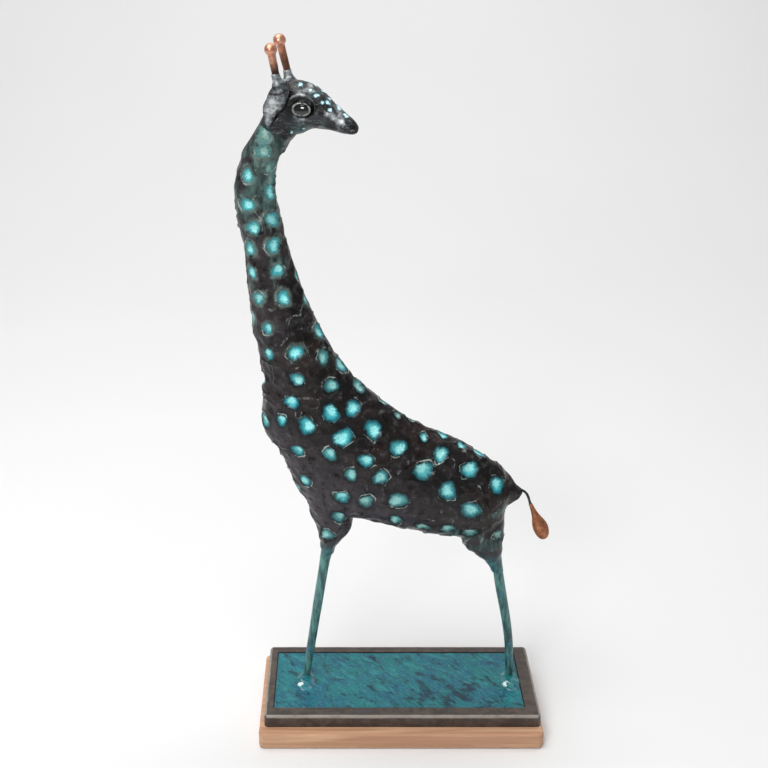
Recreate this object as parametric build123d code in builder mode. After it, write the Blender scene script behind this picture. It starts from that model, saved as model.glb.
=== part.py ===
from build123d import *
import math
import os

# Hammered copper giraffe on two rod legs, standing on a patinated plate set into a dark slab
# on a wooden plinth. Millimetres. Origin: middle of the plinth's underside. +Z up, +X along the
# plinth towards the tail, +Y towards the giraffe's right flank. The body faces -X and the head
# is turned back to look along +X.

# ---------------------------------------------------------------- driving dimensions: base stack
PLINTH_LENGTH = 200.0
PLINTH_DEPTH = 94.0
PLINTH_HEIGHT = 12.0
PLINTH_CORNER_RADIUS = 4.0
PLINTH_EDGE_RADIUS = 1.5

SLAB_LENGTH = 195.0
SLAB_DEPTH = 83.0
SLAB_HEIGHT = 9.4
SLAB_CENTRE_X = 1.0
SLAB_CENTRE_Y = 3.0
SLAB_CORNER_RADIUS = 3.0
SLAB_EDGE_RADIUS = 1.8

PLATE_LENGTH = 179.0
PLATE_DEPTH = 66.0
PLATE_THICKNESS = 1.0
PLATE_CENTRE_X = -1.0
PLATE_CENTRE_Y = 4.0
PLATE_CORNER_RADIUS = 1.5
RECESS_DEPTH = 1.4

slab_top = PLINTH_HEIGHT + SLAB_HEIGHT
recess_floor = slab_top - RECESS_DEPTH
plate_top = recess_floor + PLATE_THICKNESS

# ------------------------------------------------------------- driving dimensions: leg fastening
STUD_RADIUS = 2.5
STUD_HOLE_RADIUS = 2.75
COUNTERBORE_RADIUS = 8.0
COUNTERBORE_DEPTH = 7.0
WASHER_RADIUS = 6.5
WASHER_THICKNESS = 1.0
NUT_ACROSS_FLATS = 8.0
NUT_HEIGHT = 4.0
STUD_END = 1.2
WELD_LENGTH = 14.0
WELD_DEPTH = 26.0
WELD_HEIGHT = 1.6
WELD_FORWARD = 7.0

# ------------------------------------------------------------------- driving dimensions: giraffe
MEDIAN_Y = 9.0
WALL = 1.0

FRONT_FOOT_X = -68.0
REAR_FOOT_X = 81.3
FOOT_RADIUS = 2.7
LEG_RADIUS = 3.5

# Cross sections of neck and trunk: crest point x, z, throat or belly point x, z, half thickness.
BODY_SECTIONS = [
    (-71.5, 416.5, -91.0, 427.0, 10.0),
    (-79.3, 404.5, -102.0, 409.0, 10.6),
    (-82.6, 392.0, -107.6, 392.5, 11.2),
    (-80.3, 375.0, -107.2, 373.0, 11.8),
    (-74.5, 349.0, -103.2, 347.0, 12.6),
    (-66.5, 323.0, -101.0, 320.0, 14.0),
    (-56.5, 297.0, -98.5, 291.0, 15.8),
    (-43.5, 273.0, -93.6, 262.0, 17.6),
    (-29.0, 254.5, -94.5, 227.0, 19.6),
    (-6.5, 237.5, -82.5, 203.0, 21.0),
    (19.0, 221.5, -62.0, 166.0, 22.0),
    (41.0, 210.5, -8.0, 150.5, 21.5),
    (59.0, 200.5, 32.0, 141.0, 19.0),
    (71.5, 189.0, 58.0, 140.5, 14.5),
    (78.5, 180.8, 72.5, 159.5, 7.0),
    (83.0, 176.2, 81.4, 171.8, 2.3),
]
NECK_JOINT = 7          # index of the section where the neck shells meet the trunk shells
OVAL_STEPS = 8          # points along half an oval, less one

# Thighs: centre x, z, half length along X, half thickness.
FRONT_THIGH_SECTIONS = [
    (-50.0, 186.0, 19.0, 14.0),
    (-49.0, 166.0, 16.0, 12.5),
    (-46.8, 150.0, 12.8, 10.5),
    (-48.0, 139.5, 8.8, 8.0),
    (-50.9, 132.0, 5.4, 5.4),
    (-52.4, 126.0, 4.4, 4.4),
]
REAR_THIGH_SECTIONS = [
    (57.0, 172.0, 15.0, 13.0),
    (56.0, 150.0, 15.5, 12.0),
    (56.5, 136.0, 14.3, 11.0),
    (61.0, 127.0, 9.2, 8.4),
    (64.6, 120.5, 6.4, 6.2),
    (66.9, 116.0, 5.0, 5.0),
    (68.6, 111.0, 4.4, 4.4),
]

# ---------------------------------------------------------------------- driving dimensions: head
HEAD_CENTRE = (-72.0, 9.0, 437.0)
HEAD_YAW = 28.0         # degrees, towards -Y
HEAD_ROLL = 8.0         # degrees, right side lowered
HEAD_WALL = 1.4

# Sections across the head: distance forward, height of the centre, half height, half width.
HEAD_SECTIONS = [
    (-14.0, 1.0, 5.0, 4.5),
    (-11.0, 0.5, 11.0, 8.5),
    (-4.0, -0.5, 16.4, 11.6),
    (5.0, -0.2, 16.4, 12.4),
    (14.0, 0.8, 13.9, 11.6),
    (21.0, -0.6, 11.4, 9.4),
    (28.0, -3.2, 8.6, 7.2),
    (36.0, -6.4, 5.9, 5.2),
    (41.6, -8.7, 4.1, 4.0),
    (44.2, -9.8, 2.2, 2.2),
]

# Stub that joins the skull to the neck, in the neck's own terms.
NECK_STUB_SECTIONS = [
    BODY_SECTIONS[0],
    (-66.5, 423.0, -87.3, 433.5, 10.2),
    (-62.0, 430.5, -82.0, 440.5, 9.2),
]

EYE_FORWARD = 14.2
EYE_HEIGHT = 3.0
EYE_SIDE = 11.2
EYE_TURN = 14.0         # degrees that the eye looks forward of square to the side
BEZEL_HALF_LENGTH = 5.7
BEZEL_HALF_HEIGHT = 3.9
EYE_HALF_LENGTH = 4.4
EYE_HALF_HEIGHT = 2.7
EYE_SEAT_DEPTH = 4.0
BEZEL_STAND = 1.0
EYE_STAND = 1.9
EYE_DOME_RADIUS = 1.3

# Ears: the bow they hang along, as distance to the side and height, and their outline seen from
# the side, as distance forward and height.
EAR_BOW = [(6.6, 13.6), (12.9, 3.5), (15.5, -8.5)]
EAR_OUTLINE = [
    (1.5, 13.0),
    (-5.2, 9.4),
    (-10.0, 2.5),
    (-9.6, -4.5),
    (-6.2, -8.2),
    (-1.8, -3.8),
    (0.6, 4.5),
]
EAR_THICKNESS = 1.2
EAR_REACH = 20.0        # more than the ear's length and its distance from the head's middle

OSSICONE_BASE = (-3.5, 6.8, 15.5)
RIGHT_OSSICONE_TOP = (-6.8, 5.6, 35.0)
LEFT_OSSICONE_TOP = (-7.1, 5.6, 37.8)
OSSICONE_FOOT_RADIUS = 2.1
OSSICONE_STEM_RADIUS = 2.5
OSSICONE_BALL_RADIUS = 3.8
OSSICONE_SOCKET_RADIUS = 4.6
OSSICONE_SLEEVE_RADIUS = 3.3
OSSICONE_SLEEVE_LENGTH = 5.0
OSSICONE_SEAT_DEPTH = 4.0

TAIL_WIRE_RADIUS = 0.9
TAIL_ROOT = (81.0, 176.0)
TAIL_BEND = (86.3, 171.6)
TAIL_END = (88.6, 165.2)
TUFT_TIP = (100.6, 137.6)
TUFT_RADIUS = 5.2
TUFT_NECK_RADIUS = 1.4
TAIL_SOCKET_DEPTH = 3.0

ARMATURE_RADIUS = 2.0
ARMATURE_BEND_RADIUS = 20.0
ARMATURE_NECK_BAR = [
    (-46.0, 172.0),
    (-66.0, 228.0),
    (-84.0, 305.0),
    (-93.5, 372.0),
    (-88.0, 408.0),
    (-78.0, 428.0),
]
ARMATURE_BACK_BAR = [(-62.0, 216.8), (-20.0, 203.0), (30.0, 187.0), (61.0, 160.0)]

os.makedirs("parts", exist_ok=True)


def save(name, part):
    """Labels a finished piece and writes its STEP file."""
    part.label = name
    export_step(part, f"parts/{name}.step")


def median(x, z):
    """A point on the giraffe's median plane."""
    return (x, MEDIAN_Y, z)


# --------------------------------------------------------------------------------- leg centrelines
front_leg_top = median(-46.0, 172.0)
rear_leg_top = median(61.0, 160.0)


def front_leg_stations():
    """Centre and radius along the front leg, which leans forward at the foot and is straight."""
    return [
        (median(FRONT_FOOT_X, plate_top - 0.2), FOOT_RADIUS),
        (median(-61.4, 68.0), 3.2),
        (median(-52.5, 128.0), LEG_RADIUS),
        (front_leg_top, LEG_RADIUS),
    ]


def rear_leg_stations():
    """Centre and radius along the rear leg, which bows back and straightens at the foot."""
    return [
        (median(REAR_FOOT_X, plate_top - 0.2), FOOT_RADIUS),
        (median(80.2, 45.0), 3.0),
        (median(77.2, 67.6), 3.2),
        (median(72.0, 94.0), LEG_RADIUS),
        (median(68.3, 116.0), LEG_RADIUS),
        (rear_leg_top, LEG_RADIUS),
    ]


def leg(stations, foot_x):
    """A tapering rod through the stations, with the plain stud that passes through the base stack."""
    last = len(stations) - 1
    with BuildPart() as rod:
        for index, (centre, radius) in enumerate(stations):
            before = Vector(stations[max(index - 1, 0)][0])
            after = Vector(stations[min(index + 1, last)][0])
            direction = Vector(0, 0, 1) if index == 0 else after - before
            with BuildSketch(Plane(origin=centre, x_dir=(0, 1, 0), z_dir=direction)):
                Circle(radius)
        loft()
        with BuildSketch(Plane.XY.offset(STUD_END)):
            with Locations((foot_x, MEDIAN_Y)):
                Circle(STUD_RADIUS)
        extrude(amount=plate_top - STUD_END)
    return rod.part


front_leg = leg(front_leg_stations(), FRONT_FOOT_X)
rear_leg = leg(rear_leg_stations(), REAR_FOOT_X)
save("front_leg", front_leg)
save("rear_leg", rear_leg)

# -------------------------------------------------------------------------------------- base stack
foot_spots = [(FRONT_FOOT_X, MEDIAN_Y), (REAR_FOOT_X, MEDIAN_Y)]

with BuildPart() as wood_plinth:
    Box(PLINTH_LENGTH, PLINTH_DEPTH, PLINTH_HEIGHT, align=(Align.CENTER, Align.CENTER, Align.MIN))
    fillet(wood_plinth.edges().filter_by(Axis.Z), PLINTH_CORNER_RADIUS)
    top_and_bottom = wood_plinth.faces().filter_by(Axis.Z)
    fillet(top_and_bottom.edges(), PLINTH_EDGE_RADIUS)
    with Locations(Plane.XY.rotated((180, 0, 0))):
        with Locations(*[(x, -y) for x, y in foot_spots]):
            CounterBoreHole(STUD_HOLE_RADIUS, COUNTERBORE_RADIUS, COUNTERBORE_DEPTH)
save("wood_plinth", wood_plinth.part)

with BuildPart() as dark_slab:
    with BuildSketch(Plane.XY.offset(PLINTH_HEIGHT)):
        with Locations((SLAB_CENTRE_X, SLAB_CENTRE_Y)):
            RectangleRounded(SLAB_LENGTH, SLAB_DEPTH, SLAB_CORNER_RADIUS)
    extrude(amount=SLAB_HEIGHT)
    fillet(dark_slab.faces().sort_by(Axis.Z)[-1].edges(), SLAB_EDGE_RADIUS)
    with BuildSketch(Plane.XY.offset(recess_floor)):
        with Locations((PLATE_CENTRE_X, PLATE_CENTRE_Y)):
            RectangleRounded(PLATE_LENGTH, PLATE_DEPTH, PLATE_CORNER_RADIUS)
    extrude(amount=RECESS_DEPTH, mode=Mode.SUBTRACT)
    with BuildSketch(Plane.XY.offset(PLINTH_HEIGHT)):
        with Locations(*foot_spots):
            Circle(STUD_HOLE_RADIUS)
    extrude(amount=SLAB_HEIGHT, mode=Mode.SUBTRACT)
save("dark_slab", dark_slab.part)

with BuildPart() as patina_plate:
    with BuildSketch(Plane.XY.offset(recess_floor)):
        with Locations((PLATE_CENTRE_X, PLATE_CENTRE_Y)):
            RectangleRounded(PLATE_LENGTH, PLATE_DEPTH, PLATE_CORNER_RADIUS)
        with Locations(*foot_spots):
            Circle(STUD_HOLE_RADIUS, mode=Mode.SUBTRACT)
    extrude(amount=PLATE_THICKNESS)
    add(front_leg, mode=Mode.SUBTRACT)
    add(rear_leg, mode=Mode.SUBTRACT)
save("patina_plate", patina_plate.part)


def foot_weld(foot_x, rod):
    """A low puddle of weld on the plate, spread forward of the foot that it holds."""
    with BuildPart() as weld:
        with BuildSketch(Plane.XY.offset(plate_top)):
            with Locations((foot_x, MEDIAN_Y - WELD_FORWARD)):
                Ellipse(WELD_LENGTH / 2, WELD_DEPTH / 2)
        with BuildSketch(Plane.XY.offset(plate_top + WELD_HEIGHT)):
            with Locations((foot_x, MEDIAN_Y - WELD_FORWARD / 2)):
                Ellipse(WELD_LENGTH / 4, WELD_DEPTH / 4)
        loft()
        add(rod, mode=Mode.SUBTRACT)
    return weld.part


save("front_foot_weld", foot_weld(FRONT_FOOT_X, front_leg))
save("rear_foot_weld", foot_weld(REAR_FOOT_X, rear_leg))

with BuildPart() as leg_washers:
    with BuildSketch(Plane.XY.offset(COUNTERBORE_DEPTH - WASHER_THICKNESS)):
        with Locations(*foot_spots):
            Circle(WASHER_RADIUS)
            Circle(STUD_RADIUS, mode=Mode.SUBTRACT)
    extrude(amount=WASHER_THICKNESS)
save("leg_washers", leg_washers.part)

with BuildPart() as leg_nuts:
    with BuildSketch(Plane.XY.offset(COUNTERBORE_DEPTH - WASHER_THICKNESS - NUT_HEIGHT)):
        with Locations(*foot_spots):
            RegularPolygon(NUT_ACROSS_FLATS / 2, 6, major_radius=False)
            Circle(STUD_RADIUS, mode=Mode.SUBTRACT)
    extrude(amount=NUT_HEIGHT)
save("leg_nuts", leg_nuts.part)


# ------------------------------------------------------------------------------- neck and trunk
def half_oval(plane, half_x, half_y):
    """A sketch of half an oval: its left side, closed along the plane's x axis."""
    turns = [math.pi * step / OVAL_STEPS for step in range(OVAL_STEPS + 1)]
    points = [(half_x * math.cos(turn), -half_y * math.sin(turn)) for turn in turns]
    with BuildSketch(plane) as outline:
        with BuildLine():
            Spline(*points)
            Line((-half_x, 0), (half_x, 0))
        make_face()
    return outline.sketch


def between(rows, steps=3):
    """The rows of numbers with steps - 1 more between each pair, on a smooth curve through all."""
    filled = []
    last = len(rows) - 1
    for index in range(last):
        stencil = (rows[max(index - 1, 0)], rows[index], rows[index + 1], rows[min(index + 2, last)])
        for step in range(steps):
            t = step / steps
            weights = (
                (-t + 2 * t**2 - t**3) / 2,
                (2 - 5 * t**2 + 3 * t**3) / 2,
                (t + 4 * t**2 - 3 * t**3) / 2,
                (-(t**2) + t**3) / 2,
            )
            filled.append([sum(w * v for w, v in zip(weights, column)) for column in zip(*stencil)])
    filled.append(list(rows[last]))
    return filled


def body_plane(crest_x, crest_z, front_x, front_z):
    """The plane of one cross section, its x axis running from throat or belly to crest."""
    along = Vector(crest_x - front_x, 0, crest_z - front_z)
    middle = median((crest_x + front_x) / 2, (crest_z + front_z) / 2)
    return Plane(origin=middle, x_dir=along, z_dir=along.cross(Vector(0, 1, 0)))


def left_half(sections, inset):
    """The left half of neck, trunk and both thighs as one solid, its sections drawn in by inset."""
    ovals = []
    for crest_x, crest_z, front_x, front_z, half_thickness in between(sections):
        half_height = math.hypot(crest_x - front_x, crest_z - front_z) / 2
        plane = body_plane(crest_x, crest_z, front_x, front_z)
        ovals.append(half_oval(plane, half_height - inset, half_thickness - inset))
    with BuildPart() as body:
        loft(sections=ovals)
        for thigh in (FRONT_THIGH_SECTIONS, REAR_THIGH_SECTIONS):
            rings = [
                half_oval(Plane(origin=median(x, z)), half_length - inset, half_thickness - inset)
                for x, z, half_length, half_thickness in between(thigh)
            ]
            loft(sections=rings)
    return body.part


body_outside = left_half(BODY_SECTIONS, 0.0)
body_inside = left_half(BODY_SECTIONS[:-1], WALL)


# -------------------------------------------------------------------------------------------- tail
with BuildPart() as tail_wire:
    with BuildLine() as tail_line:
        tuft_axis = Vector(TUFT_TIP[0] - TAIL_END[0], 0, TUFT_TIP[1] - TAIL_END[1]).normalized()
        sunk_end = Vector(*median(*TAIL_END)) + tuft_axis * TAIL_SOCKET_DEPTH
        Spline(median(*TAIL_ROOT), median(*TAIL_BEND), median(*TAIL_END), sunk_end)
    with BuildSketch(Plane(origin=tail_line.line @ 0, z_dir=tail_line.line % 0)):
        Circle(TAIL_WIRE_RADIUS)
    sweep()
save("tail_wire", tail_wire.part)

tuft_length = math.dist(TAIL_END, TUFT_TIP)
tuft_plane = Plane(origin=median(*TAIL_END), x_dir=tuft_axis, z_dir=(0, -1, 0))
with BuildPart() as tail_tuft:
    with BuildSketch(tuft_plane):
        with BuildLine():
            Polyline((tuft_length, 0), (0, 0), (0, TUFT_NECK_RADIUS))
            Spline(
                (0, TUFT_NECK_RADIUS),
                (0.35 * tuft_length, 0.52 * TUFT_RADIUS),
                (0.76 * tuft_length, TUFT_RADIUS),
                (tuft_length, 0),
                tangents=[(1, 0.1), (-0.25, -1)],
            )
        make_face()
    revolve(axis=Axis(tuft_plane.origin, tuft_plane.x_dir))
    add(tail_wire.part, mode=Mode.SUBTRACT)
save("tail_tuft", tail_tuft.part)

# ------------------------------------------------------------------------------------- body shells
with BuildPart() as left_shell:
    add(body_outside)
    add(body_inside, mode=Mode.SUBTRACT)
    add(front_leg, mode=Mode.SUBTRACT)
    add(rear_leg, mode=Mode.SUBTRACT)
    add(tail_wire.part, mode=Mode.SUBTRACT)

with BuildPart() as right_shell:
    add(left_shell.part)
    mirror(about=Plane.XZ.offset(-MEDIAN_Y), mode=Mode.REPLACE)

crest_x, crest_z, front_x, front_z, _ = BODY_SECTIONS[NECK_JOINT]
neck_joint_plane = body_plane(crest_x, crest_z, front_x, front_z)

for side, whole in (("left", left_shell), ("right", right_shell)):
    for region, keep in (("neck", Keep.TOP), ("trunk", Keep.BOTTOM)):
        with BuildPart() as shell:
            add(whole.part)
            split(bisect_by=neck_joint_plane, keep=keep)
        save(f"{region}_{side}_shell", shell.part)

# -------------------------------------------------------------------------------------------- head
yaw = math.radians(HEAD_YAW)
roll = math.radians(HEAD_ROLL)
head_forward = Vector(math.cos(yaw), -math.sin(yaw), 0)
head_up = Vector(-math.sin(yaw) * math.sin(roll), -math.cos(yaw) * math.sin(roll), math.cos(roll))
head_frame = Plane(origin=HEAD_CENTRE, x_dir=head_forward, z_dir=head_up)


def head_point(forward, side, up):
    """A point given in the head's own directions: forward, to its left, up."""
    return head_frame.from_local_coords(Vector(forward, side, up))


def hollow_form(sections, inset):
    """Skull and neck stub as one solid, its walls drawn in by inset; sections are the skull's."""
    rings = []
    for forward, height, half_height, half_width in between(sections):
        plane = Plane(origin=head_point(forward, 0, height), x_dir=head_up, z_dir=head_forward)
        rings.append(half_oval(plane, half_height - inset, half_width - inset))
    with BuildPart() as skull:
        loft(sections=rings)
        mirror(about=Plane(origin=HEAD_CENTRE, z_dir=head_frame.y_dir))

    rings = []
    for crest_x, crest_z, front_x, front_z, half_thickness in between(NECK_STUB_SECTIONS):
        half_height = math.hypot(crest_x - front_x, crest_z - front_z) / 2
        plane = body_plane(crest_x, crest_z, front_x, front_z)
        rings.append(half_oval(plane, half_height - inset, half_thickness - inset))
    with BuildPart() as form:
        loft(sections=rings)
        mirror(about=Plane.XZ.offset(-MEDIAN_Y))
        add(skull.part)
    return form.part


def eye_plane(side):
    """The plane an eye is set on, its z axis looking out; side is 1 for left, -1 for right."""
    turn = math.radians(EYE_TURN)
    centre = head_point(EYE_FORWARD, side * EYE_SIDE, EYE_HEIGHT)
    out = head_forward * math.sin(turn) + head_frame.y_dir * (side * math.cos(turn))
    along = head_forward * math.cos(turn) - head_frame.y_dir * (side * math.sin(turn))
    return Plane(origin=centre, x_dir=along, z_dir=out)


def ossicone_plane(side, top):
    """The plane an ossicone leaves its sleeve on, its z axis running up the stem."""
    base = head_point(OSSICONE_BASE[0], side * OSSICONE_BASE[1], OSSICONE_BASE[2])
    ball_centre = head_point(top[0], side * top[1], top[2])
    return Plane(origin=base, z_dir=ball_centre - base)


ossicone_planes = {
    "right": ossicone_plane(-1, RIGHT_OSSICONE_TOP),
    "left": ossicone_plane(1, LEFT_OSSICONE_TOP),
}
upright = (Align.CENTER, Align.CENTER, Align.MIN)
hanging = (Align.CENTER, Align.CENTER, Align.MAX)

head_outside = hollow_form(HEAD_SECTIONS, 0.0)
head_inside = hollow_form(HEAD_SECTIONS[1:-1], HEAD_WALL)
with BuildPart() as head:
    add(head_outside)
    add(head_inside, mode=Mode.SUBTRACT)
    for side in (-1, 1):
        with BuildSketch(eye_plane(side).offset(-EYE_SEAT_DEPTH)):
            Ellipse(BEZEL_HALF_LENGTH, BEZEL_HALF_HEIGHT)
        extrude(amount=2 * EYE_SEAT_DEPTH, mode=Mode.SUBTRACT)
    for plane in ossicone_planes.values():
        with Locations(plane.location):
            Cone(OSSICONE_SOCKET_RADIUS, OSSICONE_SLEEVE_RADIUS, OSSICONE_SLEEVE_LENGTH, align=hanging)
            Cylinder(
                OSSICONE_FOOT_RADIUS, OSSICONE_SEAT_DEPTH, align=hanging, mode=Mode.SUBTRACT
            )
save("head", head.part)

# Each ossicone is a slim stem with a ball on top, its foot seated in the skull's sleeve.
for name, top in (("right", RIGHT_OSSICONE_TOP), ("left", LEFT_OSSICONE_TOP)):
    ossicone_length = math.dist(OSSICONE_BASE, top)
    with BuildPart() as ossicone:
        with Locations(ossicone_planes[name].location):
            Cylinder(OSSICONE_FOOT_RADIUS, OSSICONE_SEAT_DEPTH, align=hanging)
            Cone(OSSICONE_FOOT_RADIUS, OSSICONE_STEM_RADIUS, ossicone_length, align=upright)
            with Locations((0, 0, ossicone_length)):
                Sphere(OSSICONE_BALL_RADIUS)
    save(f"{name}_ossicone", ossicone.part)

# Each ear is a bowed leaf of sheet hung from the skull, cut where it meets the skull and sleeve.
for name, side in (("right", -1), ("left", 1)):
    across = Plane(origin=HEAD_CENTRE, x_dir=side * head_frame.y_dir, z_dir=side * head_forward)
    beside = Plane(origin=HEAD_CENTRE, x_dir=head_forward, z_dir=-head_frame.y_dir)
    with BuildPart() as ear:
        with BuildSketch(across):
            with BuildLine():
                ThreePointArc(*EAR_BOW)
            trace(line_width=EAR_THICKNESS)
        extrude(amount=EAR_REACH, both=True)
        with BuildSketch(beside):
            with BuildLine():
                Spline(*EAR_OUTLINE, periodic=True)
            make_face()
        extrude(amount=EAR_REACH, both=True, mode=Mode.INTERSECT)
        add(head_outside, mode=Mode.SUBTRACT)
        add(head.part, mode=Mode.SUBTRACT)
    save(f"{name}_ear", ear.part.solids().sort_by(SortBy.VOLUME)[-1])

# Each eye is a domed plug inside an oval bezel let into the side of the skull.
for name, side in (("right_eye", -1), ("left_eye", 1)):
    seat_plane = eye_plane(side).offset(-EYE_SEAT_DEPTH)
    with BuildPart() as bezel:
        with BuildSketch(seat_plane):
            Ellipse(BEZEL_HALF_LENGTH, BEZEL_HALF_HEIGHT)
            Ellipse(EYE_HALF_LENGTH, EYE_HALF_HEIGHT, mode=Mode.SUBTRACT)
        extrude(amount=EYE_SEAT_DEPTH + BEZEL_STAND)
    save(f"{name}_bezel", bezel.part)

    with BuildPart() as eye:
        with BuildSketch(seat_plane):
            Ellipse(EYE_HALF_LENGTH, EYE_HALF_HEIGHT)
        extrude(amount=EYE_SEAT_DEPTH + EYE_STAND)
        fillet(eye.faces().sort_by(Axis((0, 0, 0), seat_plane.z_dir))[-1].edges(), EYE_DOME_RADIUS)
    save(name, eye.part)

# --------------------------------------------------------------------------------------- armature
with BuildPart() as armature:
    for bar in (ARMATURE_NECK_BAR, ARMATURE_BACK_BAR):
        with BuildLine() as bar_line:
            FilletPolyline(*[median(x, z) for x, z in bar], radius=ARMATURE_BEND_RADIUS)
        with BuildSketch(Plane(origin=bar_line.line @ 0, z_dir=bar_line.line % 0)):
            Circle(ARMATURE_RADIUS)
        sweep()
    add(front_leg, mode=Mode.SUBTRACT)
    add(rear_leg, mode=Mode.SUBTRACT)
save("armature", armature.part)
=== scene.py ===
# Hammered copper giraffe with verdigris spots, on a patinated plate, dark slab and wooden plinth.
# Metres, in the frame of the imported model; sizes written with * MM are in millimetres.
import math

import bpy
import numpy as np
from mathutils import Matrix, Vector
from mathutils.bvhtree import BVHTree
from mathutils.kdtree import KDTree


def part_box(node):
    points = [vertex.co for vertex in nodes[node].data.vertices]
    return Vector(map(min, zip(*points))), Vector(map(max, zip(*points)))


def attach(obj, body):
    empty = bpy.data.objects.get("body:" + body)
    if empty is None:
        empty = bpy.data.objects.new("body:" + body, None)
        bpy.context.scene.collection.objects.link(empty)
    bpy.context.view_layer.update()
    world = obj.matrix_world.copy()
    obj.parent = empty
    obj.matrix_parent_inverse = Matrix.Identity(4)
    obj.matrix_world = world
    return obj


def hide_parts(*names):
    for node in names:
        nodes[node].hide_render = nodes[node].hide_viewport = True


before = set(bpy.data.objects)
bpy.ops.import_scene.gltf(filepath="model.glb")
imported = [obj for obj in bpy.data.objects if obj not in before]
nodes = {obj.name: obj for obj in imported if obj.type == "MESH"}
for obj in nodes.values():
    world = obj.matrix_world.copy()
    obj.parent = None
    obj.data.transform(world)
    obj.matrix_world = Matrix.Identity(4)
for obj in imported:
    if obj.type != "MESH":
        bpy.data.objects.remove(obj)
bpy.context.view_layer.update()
MM = 0.001
SEED = 41

SHELLS = ("neck_left_shell", "neck_right_shell", "trunk_left_shell", "trunk_right_shell")
LEGS = ("front_leg", "rear_leg")
FIGURE = SHELLS + LEGS + ("head", "left_eye", "right_eye", "left_eye_bezel", "right_eye_bezel")
SIDES = {"left": 1, "right": -1}        # and which way each lies from the head's middle
SKIN_VOXEL = 0.57 * MM
STROKE_TURN = math.radians(-50)     # the plate's brush strokes, from +X
WIPED_TURN = math.radians(-28)      # the way that the head was wiped


# ---- mesh helpers
def node_arrays(names):
    """Vertices, triangles and each triangle's node index for some CAD nodes."""
    points, faces, owner = [], [], []
    start = 0
    for index, name in enumerate(names):
        mesh = nodes[name].data
        mesh.calc_loop_triangles()
        xyz = np.empty(len(mesh.vertices) * 3)
        mesh.vertices.foreach_get("co", xyz)
        tri = np.empty(len(mesh.loop_triangles) * 3, dtype=np.int32)
        mesh.loop_triangles.foreach_get("vertices", tri)
        points.append(xyz.reshape(-1, 3))
        faces.append(tri.reshape(-1, 3) + start)
        owner.append(np.full(len(tri) // 3, index))
        start += len(mesh.vertices)
    return np.concatenate(points), np.concatenate(faces), np.concatenate(owner)


def face_tree(points, faces):
    return BVHTree.FromPolygons([tuple(p) for p in points], [tuple(f) for f in faces])


def new_mesh(name, points, faces):
    mesh = bpy.data.meshes.new(name)
    mesh.from_pydata([tuple(p) for p in points], [], [tuple(f) for f in faces])
    mesh.update()
    return mesh


def new_object(name, mesh):
    obj = bpy.data.objects.new(name, mesh)
    bpy.context.scene.collection.objects.link(obj)
    return obj


def lathe(centre, axes, profile, turns):
    """A closed body round axes[2]. The profile has (half width, half height, along), and only the
    along of its first and last rows counts, as they are the poles."""
    u, v, w = (np.array(axis) for axis in axes)
    angle = 2 * math.pi * np.arange(turns) / turns
    across, upward = np.outer(np.cos(angle), u), np.outer(np.sin(angle), v)
    rings = [centre + w * along + across * wide + upward * high for wide, high, along in profile[1:-1]]
    return closed_rings(centre + w * profile[0][2], rings, centre + w * profile[-1][2])


def closed_rings(start_pole, rings, end_pole):
    """A closed body whose skin runs from one pole over rings of points to another pole."""
    points = [start_pole] + [point for ring in rings for point in ring] + [end_pole]
    turns, last = len(rings[0]), len(points) - 1
    faces = []
    for turn in range(turns):
        after = (turn + 1) % turns
        faces.append((0, 1 + after, 1 + turn))
        faces.append((last, last - turns + turn, last - turns + after))
        for start in range(1, last - turns, turns):
            faces.append((start + turn, start + after, start + turns + after, start + turns + turn))
    return points, faces


def remeshed(names, voxel, extra=()):
    """Points and quads of the voxel surface round some CAD nodes and extra closed bodies."""
    points, faces, _ = node_arrays(names)
    points, faces = list(points), [tuple(face) for face in faces]
    for more_points, more_faces in extra:
        faces += [tuple(corner + len(points) for corner in face) for face in more_faces]
        points += list(more_points)
    obj = new_object("remesh_work", new_mesh("remesh_work", points, faces))
    modifier = obj.modifiers.new("voxels", "REMESH")
    modifier.mode = "VOXEL"
    modifier.voxel_size = voxel
    result = bpy.data.meshes.new_from_object(obj.evaluated_get(bpy.context.evaluated_depsgraph_get()))
    xyz = np.empty(len(result.vertices) * 3)
    result.vertices.foreach_get("co", xyz)
    corners = np.empty(len(result.loops), dtype=np.int32)
    result.loops.foreach_get("vertex_index", corners)
    quads = corners.reshape(-1, 4)
    work = obj.data
    bpy.data.objects.remove(obj)
    bpy.data.meshes.remove(work)
    bpy.data.meshes.remove(result)
    return xyz.reshape(-1, 3), quads


def edges_of(quads):
    pairs = np.concatenate([quads[:, [i, (i + 1) % 4]] for i in range(4)])
    pairs.sort(axis=1)
    return np.unique(pairs, axis=0)


def outer_island(points, quads):
    """Keeps the connected surface that reaches furthest, and drops inner walls and crumbs."""
    edges = edges_of(quads)
    label = np.arange(len(points))
    while True:
        lowest = np.minimum(label[edges[:, 0]], label[edges[:, 1]])
        new = label.copy()
        np.minimum.at(new, edges[:, 0], lowest)
        np.minimum.at(new, edges[:, 1], lowest)
        new = new[new]
        if np.array_equal(new, label):
            break
        label = new
    best = max(np.unique(label), key=lambda value: np.ptp(points[label == value], axis=0).sum())
    keep = label == best
    renumber = np.cumsum(keep) - 1
    return points[keep], renumber[quads[keep[quads[:, 0]]]]


def smoothed(points, quads, rounds):
    """Taubin smoothing, which keeps the volume."""
    edges = edges_of(quads)
    count = np.bincount(edges.ravel(), minlength=len(points))[:, None]
    for _ in range(rounds):
        for pull in (0.5, -0.53):
            total = np.empty_like(points)
            for axis in range(3):
                total[:, axis] = sum(
                    np.bincount(edges[:, here], points[edges[:, there], axis], len(points))
                    for here, there in ((0, 1), (1, 0))
                )
            points = points + (total / np.maximum(count, 1) - points) * pull
    return points


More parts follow.
